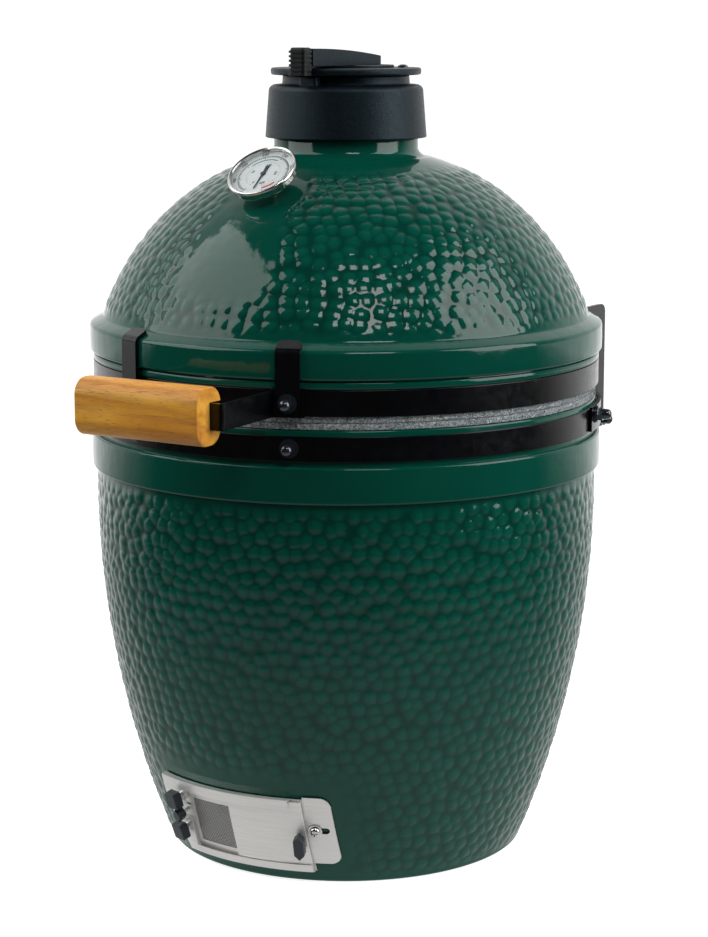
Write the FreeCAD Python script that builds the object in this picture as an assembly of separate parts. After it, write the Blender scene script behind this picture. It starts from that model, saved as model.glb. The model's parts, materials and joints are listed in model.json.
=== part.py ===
import FreeCAD, Part
import math
import os

# Egg-shaped ceramic charcoal grill (kamado). Millimetres, +Z up, origin on the floor at the centre
# of the base. The front (lid handle, draft door, thermometer) faces -Y, and +X is to its right.
# Angles named "azimuth" turn about Z from the front, positive towards +X.

V = FreeCAD.Vector
UP = V(0, 0, 1)

# ---- driving dimensions -------------------------------------------------------------------------
belly_arc_radius = 870.8         # side view of the base is one large arc
belly_arc_centre = (-644.3, 330.2)
foot_round = 4.0
base_wall = 23.0
floor_top = 22.0
collar_bottom, collar_top, collar_radius = 350.0, 382.0, 231.0
band_seat_radius = 226.6
base_rim = 413.0
rim_inner_radius = 204.0
gasket_thickness = 5.5
gasket_gap = 0.4
dome_bottom = base_rim + 2 * gasket_thickness + gasket_gap + 0.2
dome_bulge = (454.4, 476.0, 231.6)     # low edge, high edge, radius
dome_shoulder = 484.6                  # where the dome's curve begins
dome_width, dome_rise, dome_foot, dome_power = 240.0, 276.5, 358.9, 2.214
dome_wall = 23.0
neck_radius, neck_top, flue_radius = 64.7, 660.0, 45.0

band_inner, band_outer = 226.9, 229.0
lower_band_low, lower_band_height = 386.4, 21.4
upper_band_low, upper_band_height = 424.4, 22.4
plate_gap = 0.15
bracket_inner = band_outer + plate_gap
bracket_thickness = 2.6
stud_radius, running_gap = 3.0, 0.05
washer_radius, washer_thickness = 8.2, 1.2
front_bolt_azimuth = 20.1
upper_bolt_z, lower_bolt_z = 436.0, 397.6
side_bolt_azimuth, side_bolt_z = 105.0, 402.0

handle_length, handle_height, handle_depth = 123.0, 48.0, 34.0
handle_front, handle_z, handle_round = 322.0, 435.0, 14.0
handle_slot_height, handle_slot_depth = 23.0, 16.0
bar_height, bar_thickness = 22.0, 3.0
bar_overhang = 10.5              # how far the bar runs past each end of the grip

pivot_y, pivot_z, shaft_radius = 239.5, 366.0, 4.0
arm_inner_x, arm_thickness, lug_gap = 136.0, 3.5, 0.5
arm_top, arm_outer_y = 477.0, 247.5

grid_radius, grid_z = 189.0, 346.0
fire_box_top, fire_ring_top = 245.0, 345.0

dial_anchor = V(0, -124.3, 604.6)
dial_elevation = 52.0
dial_radius = 31.2
dial_standoff = 10.2              # from the skin of the dome to the back of the case

cap_low, cap_top, collar_rise = 642.6, 689.4, 697.5
plate_low, plate_high, plate_radius = 697.9, 704.1, 67.2
wheel_radius, wheel_high = 43.0, 706.5
lid_pin_x, lid_pin_y, lid_pin_radius = 43.0, 27.0, 3.0
petal_count = 5
rivet_head = 2.4

window = (-15.5, 18.0, 24.0, 68.0)     # azimuth from, azimuth to, z from, z to


# ---- helpers ------------------------------------------------------------------------------------
def profile(start, *steps):
    """Closed face in the XZ plane. A step is a point (line), [points] (smooth curve) or (mid, end) (arc)."""
    at = V(start[0], 0, start[1])
    edges = []
    for step in steps:
        if isinstance(step, list):
            points = [at] + [V(r, 0, z) for r, z in step]
            curve = Part.BSplineCurve()
            curve.interpolate(points)
            edges.append(curve.toShape())
            at = points[-1]
        elif isinstance(step[0], tuple):
            mid, end = [V(r, 0, z) for r, z in step]
            edges.append(Part.Arc(at, mid, end).toShape())
            at = end
        else:
            end = V(step[0], 0, step[1])
            edges.append(Part.makeLine(at, end))
            at = end
    first = V(start[0], 0, start[1])
    if at.distanceToPoint(first) > 1e-6:
        edges.append(Part.makeLine(at, first))
    return Part.Face(Part.Wire(edges))


def turned(face, azimuth_from=0.0, azimuth_to=360.0):
    """Revolve a profile about Z, from one azimuth to another."""
    placed_face = face.copy()
    placed_face.rotate(V(), UP, azimuth_from - 90)
    return placed_face.revolve(V(), UP, azimuth_to - azimuth_from)


def ring(inner, outer, low, high, azimuth_from=0.0, azimuth_to=360.0):
    """Flat-sided ring, or a sector of one."""
    face = profile((inner, low), (outer, low), (outer, high), (inner, high))
    return turned(face, azimuth_from, azimuth_to)


def box(x_from, x_to, y_from, y_to, z_from, z_to):
    return Part.makeBox(x_to - x_from, y_to - y_from, z_to - z_from, V(x_from, y_from, z_from))


def rod(start, direction, radius, length):
    return Part.makeCylinder(radius, length, start, direction)


def group(shapes):
    return Part.makeCompound(list(shapes))


def at_azimuth(shape, azimuth):
    """A shape made at the front, carried round the egg."""
    moved = shape.copy()
    moved.rotate(V(), UP, azimuth)
    return moved


def mirrored(shape):
    """The same piece on the other side of the egg."""
    return shape.mirror(V(), V(1, 0, 0))


def both_sides(shape):
    return group([shape, mirrored(shape)])


def rounded(shape, radius, wanted):
    """Round the edges that wanted(edge) picks."""
    return shape.makeFillet(radius, [edge for edge in shape.Edges if wanted(edge)])


def upright(edge):
    """A straight vertical edge."""
    box_of = edge.BoundBox
    return box_of.XLength < 0.01 and box_of.YLength < 0.01 and box_of.ZLength > 0.5


def along(axis):
    """Picks straight edges that run along one axis: 'x', 'y' or 'z'."""
    def wanted(edge):
        size = edge.BoundBox
        spans = {"x": size.XLength, "y": size.YLength, "z": size.ZLength}
        run = spans.pop(axis)
        return run > 0.5 and max(spans.values()) < 0.01
    return wanted


def belly_radius(z):
    """Outer radius of the base at a height below the collar."""
    r_centre, z_centre = belly_arc_centre
    return r_centre + math.sqrt(belly_arc_radius ** 2 - (z - z_centre) ** 2)


def dome_radius(z, inset=0.0):
    """Outer radius of the dome at a height, or of its inner skin with an inset."""
    reach = (z - dome_foot) / (dome_rise - inset)
    return (dome_width - inset) * (1 - reach ** dome_power) ** (1 / dome_power)


def steps_between(low, high, count):
    return [low + (high - low) * k / count for k in range(count + 1)]


def pointing(shape, position, direction):
    """A shape built along +Z, turned to a direction and put at a position."""
    moved = shape.copy()
    moved.Placement = FreeCAD.Placement(position, FreeCAD.Rotation(UP, direction))
    return moved


# ---- ceramic shells -----------------------------------------------------------------------------
def base_shell():
    foot_z = foot_round
    foot_r = belly_radius(foot_z)
    mid_z = collar_bottom * 0.5
    wall = base_wall
    outline = profile(
        (0, 0),
        (foot_r - foot_round, 0),
        ((foot_r - 1.0, 1.2), (foot_r, foot_z)),
        ((belly_radius(mid_z), mid_z), (belly_radius(collar_bottom), collar_bottom)),
        (collar_radius - 2.2, collar_bottom + 0.2),
        ((collar_radius - 0.5, collar_bottom + 0.8), (collar_radius, collar_bottom + 2.4)),
        (collar_radius, collar_top - 2.2),
        ((collar_radius - 0.5, collar_top - 0.6), (collar_radius - 1.8, collar_top)),
        (band_seat_radius, collar_top + 0.3),
        (band_seat_radius, base_rim - 2.0),
        ((band_seat_radius - 0.6, base_rim - 0.6), (band_seat_radius - 2.0, base_rim)),
        (rim_inner_radius + 1.5, base_rim),
        ((rim_inner_radius + 0.4, base_rim - 0.4), (rim_inner_radius, base_rim - 1.5)),
        (rim_inner_radius, 340),
        [(belly_radius(z) - wall, z) for z in (270, 200, 130, 70, 42)],
        ((belly_radius(32) - wall - 9, 27), (belly_radius(26) - wall - 22, floor_top)),
        (0, floor_top),
    )
    azimuth_from, azimuth_to, z_from, z_to = window
    opening = ring(100, 230, z_from, z_to, azimuth_from, azimuth_to)
    return turned(outline).cut(opening)


def dome_shell():
    low, high, radius = dome_bulge
    skin = [(dome_radius(z), z) for z in steps_between(dome_shoulder, 600, 7)]
    crown = [(dome_radius(z), z) for z in (610, 618, 625.5)]
    lining_top = 609.8
    lining = [(dome_radius(z, dome_wall), z) for z in (600, 585, 565, 540, 505, 464)]
    outline = profile(
        (rim_inner_radius, dome_bottom),
        (band_seat_radius - 2, dome_bottom),
        ((band_seat_radius - 0.6, dome_bottom + 0.6), (band_seat_radius, dome_bottom + 2)),
        (band_seat_radius, 447.2),
        (band_seat_radius + 2.4, 447.6),
        (band_seat_radius + 2.4, 453.0),
        (band_seat_radius - 0.2, 453.1),
        (band_seat_radius - 0.2, 454.3),
        (radius - 2.8, low),
        ((radius - 0.8, low + 0.8), (radius, low + 2.8)),
        (radius, high),
        ((radius - 0.6, high + 2.2), (radius - 2.1, high + 3.8)),
        (radius - 9.4, high + 7.4),
        ((radius - 10.8, high + 8.2), skin[0]),
        skin[1:] + crown,
        ((neck_radius + 2.6, 628.6), (neck_radius, 632.5)),
        (neck_radius, neck_top - 2),
        ((neck_radius - 0.6, neck_top - 0.6), (neck_radius - 2, neck_top)),
        (flue_radius, neck_top),
        (flue_radius, lining_top),
        lining,
        (rim_inner_radius, 455),
    )
    dial_hole = rod(dial_anchor - dial_direction() * 60, dial_direction(), 5.5, 100)
    return turned(outline).cut(dial_hole)


def felt_ring(low):
    face = profile(
        (207, low), (226, low), ((226.9, low + gasket_thickness / 2), (226, low + gasket_thickness)),
        (207, low + gasket_thickness),
    )
    return turned(face)


# ---- inside the base ----------------------------------------------------------------------------
def fire_box():
    low = floor_top + 0.3
    outline = profile(
        (104, low), (120, low), (133, low + 12), [(146, 62), (163, 105), (180, 175), (189, fire_box_top)],
        (170, fire_box_top), [(160, 180), (139, 120), (112, 90)],
        (97.5, 88), (97.5, 79), (88, 79), (88, 70), (104, 62),
    )
    body = turned(outline)
    ash_mouth = box(-60, 60, -200, -80, low - 1, 60)
    air_holes = [at_azimuth(rod(V(0, -100, 125), V(0, -1, 0), 9, 120), 30 * k) for k in range(12)]
    return body.cut(ash_mouth).cut(group(air_holes))


def fire_grate():
    disc = Part.makeCylinder(97, 8, V(0, 0, 79.3))
    slots = []
    for reach_from, reach_to, count in ((24, 52, 10), (60, 88, 20)):
        slot = box(-3.5, 3.5, -reach_to, -reach_from, 70, 95)
        slot = rounded(slot, 3.4, upright)
        slots += [at_azimuth(slot, 360 * k / count) for k in range(count)]
    centre_hole = rod(V(0, 0, 70), UP, 8, 30)
    return disc.cut(group(slots + [centre_hole]))


def fire_ring():
    low = fire_box_top + 0.3
    outline = profile(
        (176, low), (193, low), (194.5, low + 2), [(197.5, 300), (198.5, fire_ring_top - 3)],
        (196.5, fire_ring_top), (180, fire_ring_top), (178, fire_ring_top - 2),
    )
    return turned(outline)


def cooking_grid():
    rim_rod, bar_rod, cross_rod = 3.5, 2.0, 3.0
    centre_z = grid_z + rim_rod
    bar_z = centre_z + 1.2
    reach = grid_radius - rim_rod + 0.8
    rim = Part.makeTorus(grid_radius - rim_rod, rim_rod, V(0, 0, centre_z))
    pieces = []
    pitch = 15.0
    for k in range(-12, 13):
        x = k * pitch
        half = math.sqrt(reach ** 2 - x ** 2)
        pieces.append(rod(V(x, -half, bar_z), V(0, 1, 0), bar_rod, 2 * half))
    for y in (-91, 0, 91):
        half = math.sqrt(reach ** 2 - y ** 2)
        pieces.append(rod(V(-half, y, centre_z - 0.3), V(1, 0, 0), cross_rod, 2 * half))
    return rim.multiFuse(pieces)


# ---- bands, clips and fasteners -----------------------------------------------------------------
def front_holes(z, azimuths, radius=stud_radius + running_gap):
    """Radial drills through whatever wraps the egg at the given azimuths."""
    drill = rod(V(0, -215, z), V(0, -1, 0), radius, 60)
    return group([at_azimuth(drill, azimuth) for azimuth in azimuths])


front_azimuths = (-front_bolt_azimuth, front_bolt_azimuth)
side_azimuths = (-side_bolt_azimuth, side_bolt_azimuth)
upper_rear_azimuths = (155, -155)
lower_rear_azimuths = (150, -150)
rear_gap_angle = 2.0


def steel_band(low, height):
    """Strap round the egg, its ends meeting behind, under the hinge bracket."""
    strap = ring(band_inner, band_outer, low, low + height, -180 + rear_gap_angle, 180 - rear_gap_angle)
    return rounded(strap, 0.6, lambda edge: edge.BoundBox.XLength > 400 and edge.BoundBox.ZLength < 0.01)


def upper_band():
    azimuths = front_azimuths + upper_rear_azimuths
    return steel_band(upper_band_low, upper_band_height).cut(front_holes(upper_bolt_z, azimuths))


def lower_band():
    strap = steel_band(lower_band_low, lower_band_height)
    strap = strap.cut(front_holes(lower_bolt_z, front_azimuths))
    strap = strap.cut(front_holes(side_bolt_z, side_azimuths))
    return strap.cut(front_holes(lower_bolt_z, lower_rear_azimuths))


clip_inner, clip_thickness, clip_width = 232.6, 2.6, 20.8
clip_bend = 475.0                # height where the clip starts to lean in over the shoulder


def front_clip():
    """Flat strap that stands on the band and hooks over the shoulder of the dome."""
    outer = clip_inner + clip_thickness
    face = profile(
        (clip_inner, upper_band_low + 0.4), (outer, upper_band_low + 0.4), (outer, clip_bend),
        ((outer - 0.7, clip_bend + 3.8), (outer - 2.8, clip_bend + 6.6)),
        (outer - 12.6, clip_bend + 12.2), (outer - 13.9, clip_bend + 9.95),
        (clip_inner - 1.5, clip_bend + 4.35),
        ((clip_inner - 0.4, clip_bend + 2.5), (clip_inner, clip_bend + 0.4)),
    )
    strap = face.extrude(V(0, clip_width, 0))
    strap.translate(V(0, -clip_width / 2, 0))
    strap.rotate(V(), UP, -90)
    strap = rounded(strap, 5.0, is_clip_corner)
    return strap.cut(front_holes(upper_bolt_z, (0,)))


def is_clip_corner(edge):
    """The two short edges at the far end of the hook, through the thickness of the strap."""
    return edge.BoundBox.XLength < 0.01 and edge.Length < 3 and edge.CenterOfMass.z > clip_bend + 10.5


def washer(inner, outer, thickness):
    return Part.makeCylinder(outer, thickness).cut(Part.makeCylinder(inner, thickness))


nut_bore_depth = 9.5


def acorn_nut(bore):
    """Hexagon nut with a domed end and a blind bore, standing on its flange at z = 0."""
    corner, hexagon_height = 6.3, 5.2
    turns = [math.radians(60 * k) for k in range(7)]
    corners = [V(corner * math.cos(turn), corner * math.sin(turn), 0) for turn in turns]
    hexagon = Part.Face(Part.makePolygon(corners)).extrude(V(0, 0, hexagon_height))
    flange = Part.makeCylinder(7.4, 1.3)
    crown = profile((0, 0), (4.8, 0), (4.8, 8.0), ((3.8, 11.4), (0.7, 12.9)), (0, 12.9))
    crown = crown.revolve(V(), UP, 360)
    return hexagon.fuse([flange, crown]).cut(Part.makeCylinder(bore, nut_bore_depth))


def radial_fasteners(azimuths, z, foot_radius, start_radius=band_inner + 0.1):
    """Studs, washers and acorn nuts that stand out of the egg at the azimuths."""
    bore = stud_radius + running_gap
    outwards = V(0, -1, 0)
    foot = foot_radius + plate_gap
    stud_length = foot + washer_thickness + nut_bore_depth - 1 - start_radius
    stud = rod(V(0, -start_radius, z), outwards, stud_radius, stud_length)
    disc = pointing(washer(bore, washer_radius, washer_thickness), V(0, -foot, z), outwards)
    nut = pointing(acorn_nut(bore), V(0, -foot - washer_thickness - 0.1, z), outwards)
    return {
        "studs": [at_azimuth(stud, a) for a in azimuths],
        "washers": [at_azimuth(disc, a) for a in azimuths],
        "nuts": [at_azimuth(nut, a) for a in azimuths],
    }


# ---- lid handle ---------------------------------------------------------------------------------
slot_back_y = -(handle_front - handle_depth)
slot_bottom_y = slot_back_y - handle_slot_depth
bar_y = slot_bottom_y + 0.3 + bar_thickness / 2
screw_xs = (-36.0, 36.0)


def handle_grip():
    block = box(-handle_length / 2, handle_length / 2, -handle_front, slot_back_y,
                handle_z - handle_height / 2, handle_z + handle_height / 2)
    block = rounded(block, handle_round, along("x"))
    block = rounded(block, 1.5, lambda edge: edge.BoundBox.XLength < 0.01)
    slot = box(-200, 200, slot_bottom_y, slot_back_y + 1,
               handle_z - handle_slot_height / 2, handle_z + handle_slot_height / 2)
    pilot = [rod(V(x, slot_bottom_y + 1, handle_z), V(0, -1, 0), 2.3, 15) for x in screw_xs]
    return block.cut(group([slot] + pilot))


def handle_bracket():
    """One flat bar: a tab under each clip, a leg to each end of the grip, and a run in its slot."""
    tab_radius, tab_clearance = bracket_inner + bar_thickness / 2, 0.6
    a_near, a_far = math.radians(front_bolt_azimuth - 3.4), math.radians(front_bolt_azimuth + 3.4)
    half = [
        V(0, bar_y),
        V(handle_length / 2 + bar_overhang, bar_y),
        V(tab_radius * math.sin(a_near), -tab_radius * math.cos(a_near) - tab_clearance),
        V(tab_radius * math.sin(a_far), -tab_radius * math.cos(a_far) - tab_clearance),
    ]
    path = [V(-p.x, p.y) for p in reversed(half[1:])] + half
    left, right = [], []
    for k, point in enumerate(path):
        before = (point - path[k - 1]).normalize() if k else None
        after = (path[k + 1] - point).normalize() if k + 1 < len(path) else None
        run = (before or after) + (after or before)
        run.normalize()
        across = V(-run.y, run.x)
        reference = after or before
        stretch = bar_thickness / 2 / (run.dot(reference))
        left.append(point + across * stretch)
        right.append(point - across * stretch)
    outline = left + right[::-1]
    bar = Part.Face(Part.makePolygon(outline + outline[:1])).extrude(V(0, 0, bar_height))
    bar.translate(V(0, 0, handle_z - bar_height / 2))
    bend_x = handle_length / 2 + bar_overhang
    bar = rounded(bar, 3.0, lambda edge: upright(edge) and abs(abs(edge.CenterOfMass.x) - bend_x) < 4)
    bar = bar.cut(front_holes(upper_bolt_z, front_azimuths))
    screws = [rod(V(x, bar_y + 5, handle_z), V(0, -1, 0), 2.5, 12) for x in screw_xs]
    return bar.cut(group(screws))


def handle_screws():
    head_y = bar_y + bar_thickness / 2 + 0.1
    head = profile((0, 0), (4.6, 0), ((3.9, 2.1), (0, 3.0))).revolve(V(), UP, 360)
    shank = Part.makeCylinder(2.2, 16, V(0, 0, -16))
    cross = box(-2.6, 2.6, -0.5, 0.5, 1.6, 4).fuse(box(-0.5, 0.5, -2.6, 2.6, 1.6, 4))
    screw = head.fuse(shank).cut(cross)
    return group([pointing(screw, V(x, head_y, handle_z), V(0, 1, 0)) for x in screw_xs])


# ---- rear hinge ---------------------------------------------------------------------------------
bracket_outer = bracket_inner + bracket_thickness
arm_outer_x = arm_inner_x + arm_thickness


def side_plate(outline, x_from, thickness):
    """Plate square to X from (y, z) points."""
    points = [V(x_from, y, z) for y, z in outline]
    return Part.Face(Part.makePolygon(points + points[:1])).extrude(V(thickness, 0, 0))


def rim_y(radius, x):
    return math.sqrt(radius ** 2 - x ** 2)


def hinge_upper_bracket():
    """Wrap plate on the dome's band with an arm each side that reaches down to the pivot."""
    low, high = upper_band_low + 2.2, upper_band_low + 20.2
    wrap = ring(bracket_inner, bracket_outer, low, high, 141, 219)
    band_y = rim_y(bracket_outer, arm_inner_x) - 0.4
    shoulder_y = rim_y(dome_bulge[2], arm_inner_x) + 1.0
    arm_inner_y = 2 * pivot_y - arm_outer_y
    outline = [
        (arm_inner_y, pivot_z - 8), (arm_outer_y, pivot_z - 8), (arm_outer_y, arm_top),
        (shoulder_y, arm_top), (shoulder_y, arm_top - 13), (arm_inner_y, arm_top - 19),
        (arm_inner_y, high), (band_y, high), (band_y, low), (arm_inner_y, low - 8),
    ]
    arm = side_plate(outline, arm_inner_x, arm_thickness)
    def corners(y, z_from, z_to):
        """Picks the plate's corners near one y, between two heights."""
        return lambda edge: (along("x")(edge) and abs(edge.CenterOfMass.y - y) < 0.5
                             and z_from < edge.CenterOfMass.z < z_to)

    arm = rounded(arm, 8.0, corners(arm_outer_y, arm_top - 1, arm_top + 1))
    arm = rounded(arm, 7.4, lambda edge: along("x")(edge) and edge.CenterOfMass.z < pivot_z)
    arm = rounded(arm, 3.0, corners(arm_inner_y, low - 10, arm_top))
    joined = wrap.fuse([arm, mirrored(arm)])
    drill = rod(V(-200, pivot_y, pivot_z), V(1, 0, 0), shaft_radius + running_gap, 400)
    return joined.cut(drill).cut(front_holes(upper_bolt_z, upper_rear_azimuths))


def hinge_lower_bracket():
    """Wrap plate on the base's band with a lug each side that carries the shaft."""
    low, high = lower_band_low + 1.2, lower_band_low + 23.0
    wrap = ring(bracket_inner, bracket_outer, low, high, 101.5, 258.5)
    lug_outer_x = arm_inner_x - lug_gap
    lug_inner_x = lug_outer_x - arm_thickness
    band_y = rim_y(bracket_outer, lug_inner_x) - 0.4
    outline = [
        (band_y, low), (pivot_y - 14, pivot_z - 10), (pivot_y + 8, pivot_z - 10),
        (pivot_y + 8, pivot_z + 12), (band_y + 14, high), (band_y, high),
    ]
    lug = side_plate(outline, lug_inner_x, arm_thickness)
    lug = rounded(lug, 6.0, lambda edge: along("x")(edge) and edge.CenterOfMass.y > pivot_y + 1)
    joined = wrap.fuse([lug, mirrored(lug)])
    drill = rod(V(-200, pivot_y, pivot_z), V(1, 0, 0), shaft_radius + running_gap, 400)
    joined = joined.cut(drill).cut(front_holes(lower_bolt_z, lower_rear_azimuths))
    return joined.cut(front_holes(side_bolt_z, side_azimuths))


shaft_half = arm_outer_x + nut_bore_depth - 1


def hinge_shaft():
    return rod(V(-shaft_half, pivot_y, pivot_z), V(1, 0, 0), shaft_radius, 2 * shaft_half)


def hinge_nuts():
    nut = pointing(acorn_nut(shaft_radius + running_gap), V(arm_outer_x + 0.4, pivot_y, pivot_z), V(1, 0, 0))
    return both_sides(nut)


def hinge_spring():
    """Torsion spring round the shaft, a straight leg at each end."""
    coil_radius, wire, start_x, length, pitch = 11.0, 1.8, 84.0, 38.0, 4.2
    helix = Part.makeHelix(pitch, length, coil_radius)
    start = helix.Vertexes[0].Point
    section = Part.Wire(Part.makeCircle(wire, start, V(0, 1, 0.06)))
    coil = helix.makePipeShell([section], True, True)
    coil.rotate(V(), V(0, 1, 0), 90)
    coil.translate(V(start_x, pivot_y, pivot_z))
    return coil


# ---- thermometer --------------------------------------------------------------------------------
def dial_direction():
    angle = math.radians(dial_elevation)
    return V(0, -math.cos(angle), math.sin(angle))


def on_dial(shape):
    """A shape built along +Z from the skin of the dome, put on the thermometer's axis."""
    return pointing(shape, dial_anchor, dial_direction())


def spun(start, *steps):
    return profile(start, *steps).revolve(V(), UP, 360)


def thermometer_case():
    """Steel cup with a rolled bezel that holds the lens."""
    r, back = dial_radius, dial_standoff
    outline = spun(
        (0, back), (r - 3.5, back), ((r - 2.0, back + 0.6), (r - 1.3, back + 1.8)), (r - 1.3, back + 6.4),
        (r - 0.3, back + 6.8), ((r, back + 7.6), (r - 0.2, back + 8.8)),
        ((r - 0.8, back + 9.8), (r - 1.7, back + 9.9)), (r - 2.5, back + 9.4), (r - 2.8, back + 8.5),
        (r - 2.1, back + 8.4), (r - 2.1, back + 3.6), (0, back + 3.6),
    )
    return on_dial(outline.cut(Part.makeCylinder(1.6, 40)))


def thermometer_stem():
    length, radius = 66, 3.1
    tube = Part.makeCylinder(radius, length + 4, V(0, 0, -length))
    boss = Part.makeCylinder(5.0, 7.4 + dial_standoff, V(0, 0, -7.5))
    tip = Part.makeSphere(radius, V(0, 0, -length))
    return on_dial(tube.fuse([boss, tip]))


def thermometer_clip():
    return on_dial(Part.makeCylinder(9, 1.6, V(0, 0, -30)).cut(Part.makeCylinder(3.2, 9, V(0, 0, -34))))


def thermometer_dial():
    face = Part.makeCylinder(dial_radius - 2.2, 0.8, V(0, 0, dial_standoff + 3.7))
    return on_dial(face.cut(Part.makeCylinder(0.95, 40)))


def thermometer_lens():
    low, radius = dial_standoff + 6.7, dial_radius - 2.2
    return on_dial(spun((0, low), (radius, low), (radius, low + 1.4), (0, low + 1.6)))


def thermometer_pointer():
    """Needle at its cold end, pointing down the dome: thin towards the tip, broad at the tail."""
    low, thickness = dial_standoff + 4.9, 0.5
    outline = [V(-0.4, -18.8, low), V(0.4, -18.8, low), V(0.9, 0, low), V(1.9, 10.2, low),
               V(-1.9, 10.2, low), V(-0.9, 0, low)]
    blade = Part.Face(Part.makePolygon(outline + outline[:1])).extrude(V(0, 0, thickness))
    hub = Part.makeCylinder(2.2, 0.9, V(0, 0, low - 0.1))
    pin = Part.makeCylinder(0.9, 2.5, V(0, 0, low - 1.9))
    return on_dial(blade.fuse([hub, pin]))


# ---- chimney cap --------------------------------------------------------------------------------
def vent_cap():
    outline = spun(
        (67.6, cap_low), (71.2, cap_low), ((72.0, cap_low + 0.3), (72.3, cap_low + 1.2)),
        (69.2, cap_top - 6), ((67.4, cap_top - 1.7), (63.0, cap_top)),
        (59.0, cap_top), ((57.6, cap_top + 0.6), (57.0, cap_top + 2.0)),
        (56.6, collar_rise - 1.0), ((56.3, collar_rise - 0.3), (55.6, collar_rise)),
        (46, collar_rise), (46, neck_top + 1), (67.6, neck_top + 1),
    )
    catch = box(-9, 9, -64, -50, cap_top - 3, collar_rise - 1.2)
    catch = rounded(catch, 2.5, upright)
    pin_hole = rod(V(lid_pin_x, lid_pin_y, collar_rise - 12), UP, lid_pin_radius + running_gap, 30)
    return outline.fuse(catch).removeSplitter().cut(pin_hole)


def cap_sleeve():
    low, high = cap_low + 3, neck_top - 3
    return ring(neck_radius + 0.2, 67.4, low, high)


def lid_pin():
    """Pin that the lid plate swings on, fixed in the cap's collar."""
    low = collar_rise - 11.5
    shank = rod(V(lid_pin_x, lid_pin_y, low), UP, lid_pin_radius, plate_high + 0.3 - low)
    head = spun((0, 0), (4.8, 0), (4.8, 0.8), ((3.4, 2.0), (0.6, 2.6)), (0, 2.6))
    head.translate(V(lid_pin_x, lid_pin_y, plate_high + 0.25))
    return shank.fuse(head)


def petal_holes(turn):
    """Long holes set round the centre like petals."""
    petal = box(-6.5, 6.5, -39, -15, plate_low - 5, wheel_high + 5)
    petal = rounded(petal, 6.0, upright)
    return group([at_azimuth(petal, turn + 360 / petal_count * k) for k in range(petal_count)])


closed_turn = 180.0 / petal_count


def lid_plate():
    disc = spun(
        (0, plate_low), (plate_radius - 2, plate_low), ((plate_radius - 0.6, plate_low + 0.6),
        (plate_radius, plate_low + 2)), (plate_radius, plate_high - 2),
        ((plate_radius - 0.6, plate_high - 0.6), (plate_radius - 2, plate_high)), (0, plate_high),
    )
    pin_hole = rod(V(lid_pin_x, lid_pin_y, plate_low - 5), UP, lid_pin_radius + running_gap, 30)
    centre_hole = rod(V(0, 0, plate_low - 5), UP, stud_radius + running_gap, 30)
    head_recess = rod(V(0, 0, plate_low - 5), UP, 8, 5 + rivet_head)
    return disc.cut(group([pin_hole, centre_hole])).cut(head_recess).cut(petal_holes(0))


grip_front, grip_back = -82.0, -67.6


def vent_wheel():
    """Thin wheel with petal holes under a tapered lever, which ends in a tongue for the grip."""
    disc = Part.makeCylinder(wheel_radius, wheel_high - plate_high - 0.3, V(0, 0, plate_high + 0.3))
    disc = disc.cut(petal_holes(closed_turn))
    hub = Part.makeCylinder(13, 2, V(0, 0, wheel_high - 0.5))
    front_y, rear_y, front_top, rear_top = grip_back, 46.0, 721.6, 712.6
    past_rear = rear_y + 4
    side = Part.Face(Part.Wire([
        Part.makeLine(V(0, past_rear, rear_top - 0.6), V(0, past_rear, wheel_high - 0.2)),
        Part.makeLine(V(0, past_rear, wheel_high - 0.2), V(0, front_y, wheel_high - 0.2)),
        Part.makeLine(V(0, front_y, wheel_high - 0.2), V(0, front_y, front_top)),
        Part.Arc(V(0, front_y, front_top), V(0, -10, 719.2), V(0, past_rear, rear_top - 0.6)).toShape(),
    ])).extrude(V(60, 0, 0))
    side.translate(V(-30, 0, 0))
    plan = Part.Face(Part.Wire([
        Part.makeLine(V(-8.5, front_y, 700), V(8.5, front_y, 700)),
        Part.makeLine(V(8.5, front_y, 700), V(15, rear_y - 12, 700)),
        Part.Arc(V(15, rear_y - 12, 700), V(0, rear_y, 700), V(-15, rear_y - 12, 700)).toShape(),
        Part.makeLine(V(-15, rear_y - 12, 700), V(-8.5, front_y, 700)),
    ])).extrude(V(0, 0, 40))
    lever = side.common(plan)
    tongue = box(-5.4, 5.4, -76, front_y, 705.4, 716.8)
    bore = rod(V(0, 0, 690), UP, stud_radius + running_gap, 60)
    counterbore = rod(V(0, 0, 711), UP, 8, 20)
    return disc.fuse([hub, lever, tongue]).removeSplitter().cut(group([bore, counterbore]))


def wheel_rivet():
    """Rivet through the lid plate that the vent wheel turns on."""
    low_head = Part.makeCylinder(7.5, rivet_head - 0.4, V(0, 0, plate_low + 0.3))
    shank = rod(V(0, 0, plate_low + 1), UP, stud_radius, 711.2 - plate_low - 1)
    top_head = spun((0, 711.15), (7, 711.15), (7, 712), ((5, 713.4), (0.8, 714.0)), (0, 714.0))
    return shank.fuse([low_head, top_head])


def vent_grip():
    """Ribbed sleeve on the end of the lever, hanging past the edge of the lid plate."""
    low, high = 698.2, 722.6
    back = grip_back - 0.2
    core = box(-7.8, 7.8, grip_front + 1.2, back, low, high)
    core = rounded(core, 3.0, upright)
    core = rounded(core, 2.0, lambda edge: along("x")(edge) and edge.CenterOfMass.z > high - 1)
    ribs = []
    rib_count, rib_height = 6, 2.0
    for k in range(rib_count):
        z = low + 0.4 + k * (high - low - rib_height - 3.0) / (rib_count - 1)
        rib = box(-9.0, 9.0, grip_front, back, z, z + rib_height)
        ribs.append(rounded(rib, 3.6, upright))
    cavity = box(-5.5, 5.5, -76.1, back + 1, 705.3, 716.9)
    return core.multiFuse(ribs).cut(cavity)


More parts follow.
